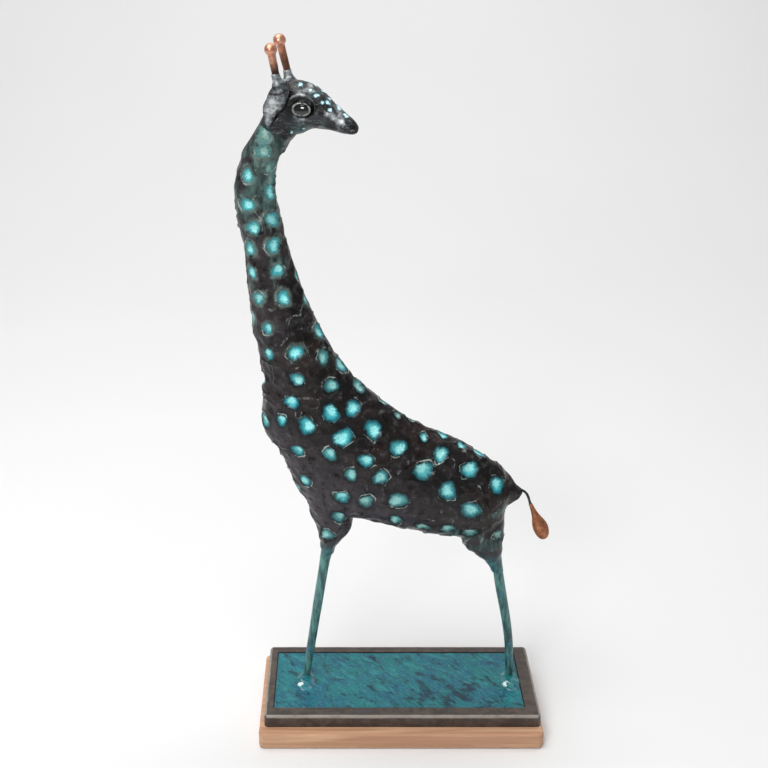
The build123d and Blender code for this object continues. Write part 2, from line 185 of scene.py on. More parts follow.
def normals_of(points, quads):
    """Outward unit normals at the points of a closed quad surface."""
    a, b, c, d = (points[quads[:, i]] for i in range(4))
    face = np.cross(c - a, d - b)
    total = np.zeros_like(points)
    for corner in range(4):
        for axis in range(3):
            total[:, axis] += np.bincount(quads[:, corner], face[:, axis], len(points))
    return total / np.maximum(np.linalg.norm(total, axis=1), 1e-12)[:, None]


def value_noise(points, size, seed):
    """Smooth noise from -1 to 1 with lumps about size across."""
    grid = np.random.default_rng(seed).uniform(-1, 1, (32, 32, 32))
    q = points / size
    cell = np.floor(q).astype(int)
    t = q - cell
    t = t * t * (3 - 2 * t)
    total = np.zeros(len(points))
    for dx in (0, 1):
        for dy in (0, 1):
            for dz in (0, 1):
                weight = np.ones(len(points))
                for axis, far in enumerate((dx, dy, dz)):
                    weight = weight * (t[:, axis] if far else 1 - t[:, axis])
                corner = grid[(cell[:, 0] + dx) % 32, (cell[:, 1] + dy) % 32, (cell[:, 2] + dz) % 32]
                total += weight * corner
    return total


def step_between(low, high, value):
    """0 below low, 1 above high, smooth between; low may be above high."""
    t = np.clip((value - low) / (high - low), 0, 1)
    return t * t * (3 - 2 * t)


def unit(vector):
    return vector / np.linalg.norm(vector)


def hump(value, centre, width):
    """1 at centre, falling to 1/e at width on either side."""
    return np.exp(-(((value - centre) / width) ** 2))


def finish_piece(name, points, faces, look, replaced, attributes=None, normals=None):
    """Makes a shaded object from arrays, rides it on the body and hides the CAD nodes that it replaces.
    A look is a material and a finish name, and the name is not used."""
    mesh = new_mesh(name, points, faces)
    for key, values in (attributes or {}).items():
        layer = mesh.attributes.new(key, "FLOAT", "POINT")
        layer.data.foreach_set("value", np.asarray(values, dtype=np.float32))
    mesh.shade_smooth()
    if normals is not None:
        mesh.normals_split_custom_set_from_vertices([tuple(n) for n in normals])
    obj = new_object(name, mesh)
    obj.data.materials.append(look[0])
    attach(obj, "root")
    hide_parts(*replaced)


# ---- material helpers
class Paint:
    """A material's node tree, with short calls for the nodes that this scene uses."""

    def __init__(self, name):
        self.material = bpy.data.materials.new(name)
        self.material.use_nodes = True
        self.tree = self.material.node_tree
        self.shader = self.tree.nodes["Principled BSDF"]
        self.coords = self.node("TexCoord", {})["Object"]

    def plug(self, socket, value):
        """Links a socket to a value that is one, or sets it; a colour may leave out its alpha."""
        if isinstance(value, bpy.types.NodeSocket):
            self.tree.links.new(value, socket)
        elif socket.type == "RGBA" and len(value) == 3:
            socket.default_value = (*value, 1.0)
        else:
            socket.default_value = value

    def node(self, kind, inputs, **settings):
        """The outputs of a new node."""
        node = self.tree.nodes.new("ShaderNode" + kind)
        for key, value in settings.items():
            setattr(node, key, value)
        for key, value in inputs.items():
            self.plug(node.inputs[key], value)
        return node.outputs

    def math(self, operation, a, b=0.0):
        return self.node("Math", {0: a, 1: b}, operation=operation)[0]

    def add(self, a, b):
        return self.math("ADD", a, b)

    def times(self, a, b):
        return self.math("MULTIPLY", a, b)

    def attribute(self, name):
        return self.node("Attribute", {}, attribute_name=name)["Fac"]

    def axis(self, name):
        return self.node("SeparateXYZ", {0: self.coords})[name]

    def stretched(self, factors, turn=0.0):
        """Coordinates in which a texture is drawn out by factors along axes turned about Z."""
        inputs = {"Vector": self.coords, "Scale": factors, "Rotation": (0, 0, turn)}
        return self.node("Mapping", inputs, vector_type="TEXTURE")[0]

    def noise(self, size, detail=3.0, rough=0.55, vector=None, distortion=0.0):
        """Noise from 0 to 1 with features about size across, in metres."""
        inputs = {"Vector": vector or self.coords, "Scale": 1 / size, "Detail": detail,
                  "Roughness": rough, "Distortion": distortion}
        return self.node("TexNoise", inputs)["Fac"]

    def ramp(self, value, low, high):
        """0 at low, 1 at high, smooth between; low may be above high."""
        inputs = {"Value": value, "From Min": low, "From Max": high}
        if low > high:
            inputs = {"Value": value, "From Min": high, "From Max": low, "To Min": 1.0, "To Max": 0.0}
        return self.node("MapRange", inputs, interpolation_type="SMOOTHSTEP")["Result"]

    def centred(self, value, amount):
        """A texture from 0 to 1, made to run amount from end to end about 0."""
        return self.times(self.add(value, -0.5), amount)

    def mix(self, factor, a, b):
        return self.node("Mix", {0: factor, 6: a, 7: b}, data_type="RGBA")[2]

    def over(self, colour, tint, mask, low, high, amount=1.0):
        """A colour with a tint laid over it as the mask goes from low to high."""
        cover = self.ramp(mask, low, high)
        return self.mix(cover if amount == 1.0 else self.times(cover, amount), colour, tint)

    def blend(self, factor, a, b):
        return self.node("Mix", {0: factor, 2: a, 3: b})[0]

    def bump(self, height, distance, strength):
        return self.node("Bump", {"Height": height, "Distance": distance, "Strength": strength})[0]

    def done(self, colour, roughness, metallic=0.0, normal=None, **values):
        inputs = {"Base Color": colour, "Roughness": roughness, "Metallic": metallic}
        if normal is not None:
            inputs["Normal"] = normal
        inputs.update({key.replace("_", " "): value for key, value in values.items()})
        for key, value in inputs.items():
            self.plug(self.shader.inputs[key], value)
        return self.material


def srgb(red, green, blue):
    """A colour given as 0 to 255 screen values, made linear."""
    def linear(value):
        value = value / 255
        return value / 12.92 if value <= 0.04045 else ((value + 0.055) / 1.055) ** 2.4
    return (linear(red), linear(green), linear(blue))


# ---- materials
def body_patina():
    """Near-black patina, turquoise in the dents, pale metal on the sharp ridges, worn and partly a painted
    highlight.
    """
    p = Paint("body_patina")
    spot, tone, ridge, wash, cool, heart = map(
        p.attribute, ("spot", "tone", "ridge", "wash", "cool", "heart"))
    fine = p.noise(1.2 * MM, 4.0, 0.65)
    medium = p.noise(5.0 * MM, 4.0, 0.6)
    broad = p.noise(26.0 * MM, 3.0, 0.55)
    down = p.noise(3.2 * MM, 4.0, 0.6, p.stretched((1, 1, 3.6)))

    dark = p.over(srgb(17, 14, 14), srgb(42, 33, 30), broad, 0.38, 0.7)
    dark = p.mix(p.times(cool, 0.85), dark, srgb(64, 59, 65))
    dark = p.over(dark, srgb(84, 79, 82), medium, 0.52, 0.76, 0.7)
    dark = p.over(dark, srgb(112, 116, 114), fine, 0.6, 0.85, 0.3)
    dark = p.over(dark, srgb(8, 7, 8), medium, 0.46, 0.32)

    film = p.over(srgb(32, 54, 54), srgb(84, 112, 106), down, 0.35, 0.7)
    colour = p.over(dark, film, p.add(wash, p.centred(down, 1.3)), 0.35, 0.7, 0.75)

    mottle = p.add(p.centred(fine, 0.5), p.centred(medium, 0.55))
    edge = p.add(spot, p.times(mottle, 0.5))
    inside = p.ramp(edge, -0.04, 0.16)
    neck = p.ramp(p.axis("Z"), 0.262, 0.31)
    ring = p.mix(p.times(neck, p.ramp(medium, 0.3, 0.6)), srgb(12, 20, 23), srgb(104, 126, 120))
    colour = p.over(colour, ring, edge, -0.6, -0.1, 0.75)
    rim = p.mix(tone, srgb(60, 82, 78), srgb(20, 100, 112))
    rim = p.mix(p.times(neck, 0.55), rim, srgb(92, 150, 148))
    deep = p.mix(tone, srgb(96, 124, 114), srgb(66, 188, 198))
    pale = p.mix(tone, srgb(138, 162, 152), srgb(166, 255, 255))
    green = p.over(rim, deep, edge, 0.12, 0.55)
    green = p.over(green, pale, p.add(heart, p.times(mottle, 1.5)), 0.22, 0.72)
    green = p.over(green, srgb(22, 84, 96), fine, 0.47, 0.33, 0.4)
    strength = p.times(inside, p.ramp(p.add(tone, p.times(medium, 0.4)), 0.06, 0.3))
    colour = p.mix(strength, colour, green)

    # Painted pale on the ridges and folds: worn metal, and partly a painted highlight.
    worn_and_glint = p.ramp(p.add(p.add(ridge, p.centred(fine, 1.1)), p.centred(medium, 0.8)), 0.34, 0.95)
    colour = p.mix(p.times(worn_and_glint, 0.95), colour, srgb(184, 194, 188))

    height = p.add(p.add(p.axis("Z"), p.times(p.axis("X"), 0.07)), p.centred(down, 14 * MM))
    rod = p.over(srgb(40, 76, 84), srgb(78, 134, 134), down, 0.36, 0.62)
    colour = p.over(colour, rod, height, 0.136, 0.122)

    rough = p.blend(inside, p.add(0.2, p.times(medium, 0.3)), 0.6)
    rough = p.blend(worn_and_glint, rough, 0.32)
    grain = p.add(p.times(fine, 0.5), p.times(medium, 1.2))
    return p.done(colour, rough, p.times(worn_and_glint, 0.6), p.bump(grain, 0.4 * MM, 0.7),
                  Specular_IOR_Level=0.16, Coat_Weight=0.2, Coat_Roughness=0.14)


def head_patina():
    """Grey-black satin patina with silvery rubbed places, partly a painted highlight, small pale flecks,
    and near-black painted shade in the hollows and under the jaw.
    """
    p = Paint("head_patina")
    spot, rubbed_and_sheen, painted_shade, teal = map(p.attribute, ("spot", "rubbed_and_sheen", "painted_shade", "teal"))
    fine = p.noise(0.7 * MM, 4.0, 0.65)
    medium = p.noise(3.2 * MM, 4.0, 0.6)
    broad = p.noise(11.0 * MM, 3.0, 0.55)
    streaks = p.noise(1.1 * MM, 4.0, 0.6, p.stretched((4, 1.6, 1), WIPED_TURN))
    wipe = p.noise(2.4 * MM, 3.0, 0.55, p.stretched((2.4, 1.4, 1), WIPED_TURN))

    dark = p.over(srgb(20, 19, 22), srgb(50, 52, 56), broad, 0.38, 0.66)
    dark = p.over(dark, srgb(88, 90, 92), medium, 0.52, 0.76)
    dark = p.over(dark, srgb(58, 84, 84), p.noise(8.0 * MM, 2.0), 0.56, 0.7, 0.5)
    dark = p.over(dark, srgb(116, 120, 122), streaks, 0.52, 0.68, 0.55)
    # Painted shade: near-black wherever the shade mask is high, in the hollows and under the jaw.
    dark = p.mix(painted_shade, dark, srgb(5, 5, 6))

    # Rubbed places and painted highlights, roughened by noise, turn silvery and then near-white.
    scuffs_and_sheen = p.add(rubbed_and_sheen, p.times(p.add(p.add(medium, wipe), -0.98), 1.6))
    shine = p.ramp(scuffs_and_sheen, 0.3, 0.95)
    colour = p.mix(p.times(shine, 0.85), dark, srgb(146, 150, 152))
    colour = p.over(colour, srgb(208, 214, 216), scuffs_and_sheen, 0.85, 1.3, 0.85)
    edge = p.add(spot, p.add(p.centred(fine, 0.8), p.centred(p.noise(1.6 * MM, 2.0), 1.7)))
    colour = p.over(colour, srgb(16, 20, 22), edge, -0.6, -0.05, 0.6)
    colour = p.over(colour, srgb(132, 190, 200), edge, -0.02, 0.3)
    colour = p.over(colour, srgb(226, 240, 246), edge, 0.26, 0.75)
    colour = p.mix(p.times(teal, p.ramp(medium, 0.38, 0.6)), colour, srgb(70, 104, 104))
    rough = p.add(0.24, p.times(medium, 0.3))
    grain = p.add(p.times(fine, 0.4), medium)
    return p.done(colour, rough, p.times(shine, 0.5), p.bump(grain, 0.4 * MM, 0.8),
                  Specular_IOR_Level=0.22, Coat_Weight=0.14, Coat_Roughness=0.14)


def leg_patina():
    """Teal over a dark rod, streaked along it."""
    p = Paint("leg_patina")
    streak = p.noise(3.4 * MM, 4.0, 0.6, p.stretched((1, 1, 4.5)))
    fine = p.noise(0.9 * MM, 4.0, 0.7)
    blot = p.noise(9.0 * MM, 3.0, 0.6)
    colour = p.over(srgb(38, 72, 78), srgb(84, 142, 136), streak, 0.36, 0.62)
    colour = p.over(colour, srgb(52, 108, 126), blot, 0.55, 0.68)
    colour = p.over(colour, srgb(52, 42, 44), streak, 0.34, 0.24)
    colour = p.over(colour, srgb(120, 168, 160), fine, 0.58, 0.8, 0.5)
    rough = p.add(0.36, p.times(fine, 0.25))
    return p.done(colour, rough, 0.0, p.bump(p.add(fine, streak), 0.25 * MM, 0.6),
                  Specular_IOR_Level=0.5, Coat_Weight=0.2, Coat_Roughness=0.25)


def plate_patina(name, rough, lacquer):
    """Brushed teal patina: diagonal strokes and dark blots under a lacquer, and a painted white highlight
    on the welds.
    """
    p = Paint(name)
    slant = p.stretched((4.5, 1, 1), STROKE_TURN)
    stroke = p.noise(2.6 * MM, 5.0, 0.65, slant, 0.4)
    thin = p.noise(0.8 * MM, 4.0, 0.65, slant)
    other = p.noise(3.0 * MM, 4.0, 0.6, p.stretched((3.5, 1, 1), STROKE_TURN + math.radians(50)))
    broad = p.noise(5.0 * MM, 4.0, 0.6, p.stretched((3.2, 1, 1), STROKE_TURN + math.radians(12)))
    blot = p.noise(17.0 * MM, 4.0, 0.62, distortion=0.6)
    shade = p.noise(7.0 * MM, 5.0, 0.66, p.stretched((2.0, 1, 1), STROKE_TURN))
    shade = p.add(shade, p.times(p.add(p.add(stroke, other), -1.0), 0.35))
    shade = p.add(shade, p.times(p.attribute("dim"), -0.11))
    border = p.add(p.attribute("border"), p.centred(stroke, 0.8))
    painted_glint = p.add(p.attribute("painted_glint"), p.centred(p.noise(1.5 * MM, 3.0), 2.4))
    colour = p.over(srgb(16, 84, 108), srgb(14, 106, 108), blot, 0.36, 0.62)
    colour = p.over(colour, srgb(26, 126, 132), stroke, 0.42, 0.68, 0.6)
    colour = p.over(colour, srgb(24, 96, 124), other, 0.48, 0.74, 0.7)
    colour = p.over(colour, srgb(86, 172, 172), thin, 0.52, 0.76, 0.75)
    colour = p.over(colour, srgb(58, 148, 150), broad, 0.54, 0.74, 0.6)
    colour = p.over(colour, srgb(10, 34, 52), shade, 0.48, 0.3, 0.85)
    colour = p.over(colour, srgb(66, 74, 96), p.noise(5.0 * MM, 4.0), 0.6, 0.76, 0.6)
    colour = p.over(colour, srgb(44, 52, 50), border, 0.4, 0.9)
    # Painted highlight: white on the front left of each weld.
    colour = p.over(colour, srgb(226, 240, 240), painted_glint, 0.5, 0.7)
    rough = p.add(rough, p.times(stroke, 0.28))
    return p.done(colour, rough, 0.0, p.bump(p.add(stroke, p.times(thin, 0.6)), 0.22 * MM, 0.6),
                  Specular_IOR_Level=0.3, Coat_Weight=lacquer, Coat_Roughness=0.08)


def slab_patina(low, high):
    """Dark brown-grey slab, pale along its top edges: worn, and partly a painted highlight on the rounded
    edge. low and high are its box's corners.
    """
    p = Paint("slab_patina")
    fine = p.noise(0.9 * MM, 4.0, 0.65)
    medium = p.noise(6.0 * MM, 4.0, 0.6)
    long_grain = p.noise(3.0 * MM, 4.0, 0.6, p.stretched((8, 1, 1)))
    rub = p.noise(3.0 * MM, 5.0, 0.7, p.stretched((3, 3, 1)))
    past_side = [p.add(p.math("ABSOLUTE", p.add(p.axis(name), -(start + end) / 2)), -(end - start) / 2)
                 for name, start, end in zip("XY", low, high)]
    past_top = p.add(p.axis("Z"), -high[2])
    past_edge = p.add(p.math("MAXIMUM", *past_side), past_top)
    from_edge = p.add(p.math("ABSOLUTE", p.add(past_edge, 1.2 * MM)), p.centred(rub, 1.6 * MM))
    colour = p.over(srgb(56, 47, 42), srgb(80, 69, 61), medium, 0.36, 0.66)
    colour = p.over(colour, srgb(94, 86, 80), long_grain, 0.55, 0.75, 0.5)
    colour = p.over(colour, srgb(70, 66, 72), p.noise(19.0 * MM, 2.0), 0.55, 0.7, 0.4)
    # Pale along the top edges: wear, and partly a painted highlight on the rounded edge.
    colour = p.over(colour, srgb(168, 160, 150), from_edge, 0.9 * MM, -0.1 * MM, 0.7)
    rough = p.add(0.34, p.times(medium, 0.25))
    return p.done(colour, rough, 0.0, p.bump(p.add(fine, p.times(long_grain, 1.5)), 0.25 * MM, 0.5),
                  Specular_IOR_Level=0.5)


def plinth_wood():
    """Pale pinkish hardwood with its grain along the board."""
    p = Paint("plinth_wood")
    bands = p.noise(5.5 * MM, 5.0, 0.6, p.stretched((22, 1, 0.62)), 0.9)
    pores = p.noise(0.7 * MM, 3.0, 0.7, p.stretched((16, 1, 1)))
    colour = p.over(srgb(184, 138, 106), srgb(212, 170, 136), bands, 0.34, 0.66)
    colour = p.over(colour, srgb(184, 138, 114), p.noise(45 * MM, 2.0), 0.4, 0.7, 0.35)
    colour = p.over(colour, srgb(150, 104, 76), pores, 0.6, 0.78, 0.55)
    rough = p.add(0.42, p.times(bands, 0.16))
    return p.done(colour, rough, 0.0, p.bump(p.add(pores, bands), 0.15 * MM, 0.5),
                  Specular_IOR_Level=0.4)


def copper(name, light, dark, rough, film=None, film_from=0.0, film_to=0.0):
    """Copper with darker flecks, and a film that thickens from one height down to another."""
    p = Paint(name)
    fine = p.noise(0.8 * MM, 4.0, 0.65)
    medium = p.noise(3.5 * MM, 4.0, 0.6)
    colour = p.over(dark, light, medium, 0.35, 0.7)
    colour = p.over(colour, srgb(70, 36, 26), fine, 0.6, 0.8, 0.35)
    if film is not None:
        colour = p.over(colour, film, p.add(p.axis("Z"), p.centred(medium, 5 * MM)), film_from, film_to)
    return p.done(colour, p.add(rough, p.times(medium, 0.15)), 0.75,
                  p.bump(p.add(fine, medium), 0.2 * MM, 0.5), Specular_IOR_Level=0.5)


def bezel_metal():
    """Worn grey metal with dark patches."""
    p = Paint("bezel_metal")
    fine = p.noise(0.5 * MM, 4.0, 0.65)
    colour = p.over(srgb(54, 62, 60), srgb(158, 166, 160), p.noise(1.8 * MM, 4.0, 0.6), 0.35, 0.62)
    colour = p.over(colour, srgb(60, 70, 66), fine, 0.62, 0.8, 0.6)
    return p.done(colour, p.add(0.28, p.times(fine, 0.2)), 0.6, p.bump(fine, 0.15 * MM, 0.5))


def eye_black():
    """Glossy black."""
    p = Paint("eye_black")
    depth = p.noise(2.0 * MM, 2.0)
    colour = p.mix(depth, srgb(1, 1, 2), srgb(5, 5, 6))
    return p.done(colour, 0.05, 0.0, p.bump(depth, 0.05 * MM, 0.2),
                  Specular_IOR_Level=0.4, Coat_Weight=1.0, Coat_Roughness=0.02)


def plain_steel():
    """Grey steel with a few brown stains."""
    p = Paint("plain_steel")
    fine = p.noise(0.6 * MM, 4.0, 0.65)
    colour = p.over(srgb(120, 118, 114), srgb(170, 168, 164), p.noise(4.0 * MM, 3.0), 0.35, 0.65)
    colour = p.over(colour, srgb(92, 78, 66), fine, 0.62, 0.8, 0.5)
    return p.done(colour, p.add(0.3, p.times(fine, 0.25)), 0.85, p.bump(fine, 0.1 * MM, 0.4))


LOOKS = {
    "body": (body_patina(), "body_patina"),
    "head": (head_patina(), "head_patina"),
    "leg": (leg_patina(), "leg_patina"),
    "plate": (plate_patina("plate_patina", 0.3, 0.1), "patina_plate"),
    "weld": (plate_patina("weld_patina", 0.14, 0.8), "patina_plate"),
    "bezel": (bezel_metal(), "bezel_metal"),
    "eye": (eye_black(), "eye_gloss"),
}
STEEL = plain_steel()

# ---- the head's own frame
eye_centres = {side: sum((Vector(c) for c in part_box(f"{side}_eye_bezel")), Vector()) / 2
               for side in SIDES}
to_left = (eye_centres["left"] - eye_centres["right"]).normalized()
forward = to_left.cross(Vector((0, 0, 1))).normalized()
head_up = forward.cross(to_left).normalized()
HEAD_AXES = np.array([forward, to_left, head_up])
EYE_FORWARD = 14.2 * MM     # of the head's centre
EYE_HEIGHT = 3.0 * MM       # over the head's centre
head_centre = np.array((eye_centres["left"] + eye_centres["right"]) / 2)
head_centre = head_centre - HEAD_AXES[0] * EYE_FORWARD - HEAD_AXES[2] * EYE_HEIGHT


def in_head(p):
    """How far forward, to the left and up from the head's centre points are, in millimetres."""
    return ((p - head_centre) @ HEAD_AXES.T / MM).T


# ---- figure: one base surface
COLLAR_RADIUS = 3.8 * MM
SLEEVE_RADIUS = 2.7 * MM    # of the sleeve's upper end
SLEEVE_FOOT = 5.2 * MM      # how far its flare reaches over the skull
SLEEVE_TOE = 3.6 * MM       # how much further it reaches to the front
DEEPEST_FOOT = 5.0 * MM     # below the skull's collar
FOOT_SUNK = 0.5 * MM        # into the skull
SLEEVE_TURNS = 48
RAY_RISE = 10 * MM          # over the collar, where the rays that find the skull start
RAY_LENGTH = 25 * MM


def horn_sleeve(side, rise):
    """A sleeve round the foot of an ossicone, flared down onto the skull, most to the front."""
    horn = node_arrays([f"{side}_ossicone"])[0]
    centre = horn.mean(axis=0)
    _, _, axes = np.linalg.svd(horn - centre, full_matrices=False)
    w = axes[0] * np.sign(axes[0][2])
    u = unit(HEAD_AXES[0] - w * (HEAD_AXES[0] @ w))
    v = np.cross(w, u)
    skull, skull_faces, _ = node_arrays(["head"])
    tree = face_tree(skull, skull_faces)
    offset = skull - centre
    along = offset @ w
    away = np.linalg.norm(offset - along[:, None] * w, axis=1)
    collar = along[away < COLLAR_RADIUS].max()
    deepest = collar - DEEPEST_FOOT
    angle = 2 * math.pi * np.arange(SLEEVE_TURNS) / SLEEVE_TURNS
    spokes = np.outer(np.cos(angle), u) + np.outer(np.sin(angle), v)
    reach = SLEEVE_FOOT + SLEEVE_TOE * np.maximum(np.cos(angle), 0) ** 2
    foot = []
    for spoke, out in zip(spokes, reach):
        above = centre + w * (collar + RAY_RISE) + spoke * out
        hit = tree.ray_cast(Vector(above), Vector(-w), RAY_LENGTH)[0]
        height = deepest if hit is None else (np.array(hit) - centre) @ w
        foot.append(min(max(height, deepest), collar))
    foot = np.array(foot) - FOOT_SUNK
    for _ in range(3):
        foot = (np.roll(foot, 1) + foot + np.roll(foot, -1)) / 3
    rings = [centre + spokes * (0.9 * reach)[:, None] + np.outer(foot - 2 * MM, w)]
    for t in np.linspace(0, 1, 25):
        radius = SLEEVE_RADIUS + (reach - SLEEVE_RADIUS) * (1 - t) ** 2
        height = foot + (collar + rise * MM - foot) * t ** 1.5
        rings.append(centre + spokes * radius[:, None] + np.outer(height, w))
    top = collar + (rise + 0.3) * MM
    return closed_rings(centre + w * (foot.min() - 3 * MM), rings, centre + w * top)


sleeves = [horn_sleeve("left", 4.6), horn_sleeve("right", 5.6)]
points, quads = outer_island(*remeshed(FIGURE, SKIN_VOXEL, sleeves))
points = smoothed(points, quads, 6)
normals = normals_of(points, quads)
skin_tree = face_tree(points, quads)
centres = points[quads].mean(axis=1)

cad_points, cad_faces, cad_owner = node_arrays(FIGURE)
cad_tree = face_tree(cad_points, cad_faces)
owner = np.array([cad_owner[cad_tree.find_nearest(Vector(c))[2]] for c in centres])

# The body's middle plane is halfway across its legs.
leg_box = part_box("front_leg")
MIDDLE_Y = (leg_box[0][1] + leg_box[1][1]) / 2

# Verdigris spots on the near side stand in rows: x and z of the first and the last, how many,
# their radius, and the tone at both ends, from 0, a faint grey-green, to 1, bright turquoise.
# In millimetres, in the row frame.
SPOT_ROWS = [
    ((-90, 420), (-85, 395), 4, 4.0, (0.15, 0.10)),      # under the head, faint
    ((-100, 395), (-95, 320), 6, 4.0, (0.85, 0.60)),    # down the front of the neck
    ((-85, 385), (-80, 320), 5, 4.2, (0.75, 0.95)),      # down its middle
    ((-75, 365), (-70, 330), 3, 2.8, (0.40, 0.65)),      # down its back
    ((-90, 300), (-90, 280), 2, 4.0, (0.80, 0.75)),
    ((-70, 285), (-70, 265), 2, 4.5, (0.90, 0.65)),
    ((-55, 280), (-50, 260), 2, 4.0, (0.40, 0.55)),      # from the neck down the back
    ((-5, 235), (15, 220), 2, 3.0, (0.20, 0.60)),
    ((25, 210), (65, 185), 3, 5.0, (0.65, 0.80)),
    ((-35, 245), (45, 170), 6, 5.6, (0.85, 0.65)),       # four slanting rows across the trunk
    ((-50, 240), (-5, 180), 5, 5.3, (1.00, 0.50)),
    ((-75, 250), (-25, 180), 5, 4.8, (0.95, 0.35)),
    ((-80, 235), (-65, 190), 3, 3.8, (0.95, 0.55)),
    ((-40, 180), (-50, 145), 3, 4.4, (0.70, 0.30)),      # on the shoulder
    ((-5, 160), (65, 145), 5, 4.5, (0.35, 0.15)),        # along the belly
]
SPOT_STRAY = 2.0        # millimetres out of its row
SPOT_REACH = 0.2        # how far outside the body a ray starts, in metres
# Where the chest, back and neck also have spots along the middle of the body:
LOWEST_SPOT = 172 * MM
HIGHEST_SPOT = 385 * MM
RUMP = 52 * MM          # only ahead of this x
SPOT_GAP = 5.5 * MM
DENT_EDGE = 1.42        # the dent's edge, in spot radii
DENT_DEPTH = 0.33       # in spot radii
PLAIN_DEPTH = 0.62      # of a dent without verdigris, next to one with it
DENT_REACH = 2.6        # how far a dent counts, in dent radii
RIDGE_HEIGHT = 0.5 * MM
RIDGE_WIDTH = 0.56 * MM
FOLD_HEIGHT = 0.75 * MM
RUMP_PINCH = (76.5 * MM, 164 * MM)      # x and z where the rump is drawn in under the tail
PINCH_DEPTH = 3.2 * MM
PINCH_RADIUS = 7 * MM


def skin_point(x, z, side):
    """The skin's point and normal at x, z on the near (-1) or far (1) side, or None."""
    start = Vector((x, MIDDLE_Y + side * SPOT_REACH, z))
    place, normal, _, _ = skin_tree.ray_cast(start, Vector((0, -side, 0)))
    return None if place is None else (np.array(place), np.array(normal))


def near_spots(rng):
    """Each near-side spot's x, z, radius and tone: even steps along its row, a little astray."""
    for start, end, count, radius, (first, last) in SPOT_ROWS:
        for t in np.linspace(0, 1, count):
            x, z = (a + (b - a) * t + rng.uniform(-SPOT_STRAY, SPOT_STRAY) for a, b in zip(start, end))
            tone = first + (last - first) * t + rng.uniform(-0.1, 0.1)
            yield x, z, radius * rng.uniform(0.85, 1.15), min(1.0, max(0.0, tone))


def place_spots(rng):
    """Each spot's centre, normal, radius and tone: rows on the near side, the far side like it."""
    placed = []
    for x, z, radius, tone in near_spots(rng):
        for side in (-1, 1):
            at_x, at_z, size, colour = x * MM, z * MM, radius * MM, tone
            if side == 1:
                at_x += rng.uniform(-4, 4) * MM
                at_z += rng.uniform(-4, 4) * MM
                size *= rng.uniform(0.85, 1.15)
                colour = min(1.0, max(0.0, tone + rng.uniform(-0.2, 0.2)))
            found = skin_point(at_x, at_z, side)
            if found:
                placed.append((*found, size, colour))
    edge_on = np.flatnonzero((np.abs(normals[:, 1]) < 0.5) & (points[:, 0] < RUMP)
                             & (points[:, 2] > LOWEST_SPOT) & (points[:, 2] < HIGHEST_SPOT))
    for index in rng.choice(edge_on, 1200):
        size, colour = rng.uniform(3.4, 5.4) * MM, rng.uniform(0.3, 0.9)
        gap = [np.linalg.norm(points[index] - spot[0]) - spot[2] - size for spot in placed]
        if min(gap) > SPOT_GAP:
            placed.append((points[index], normals[index], size, colour))
    return placed


def place_plain_dents(rng, placed):
    """Hammer marks without verdigris, so without a tone, in the room between the spots."""
    body = np.flatnonzero(np.isin(owner, [FIGURE.index(name) for name in SHELLS]))
    taken = [(centre, size * DENT_EDGE) for centre, _, size, _ in placed]
    plain = []
    for index in rng.choice(body, 5000):
        centre = centres[index]
        size = rng.uniform(3.4, 7.2) * MM
        if all(np.linalg.norm(centre - other) > 0.86 * (room + size) for other, room in taken):
            taken.append((centre, size))
            plain.append((centre, normals[quads[index, 0]], size / DENT_EDGE, None))
    return plain


rng = np.random.default_rng(SEED)
spots = place_spots(rng)
dents = spots + place_plain_dents(rng, spots)


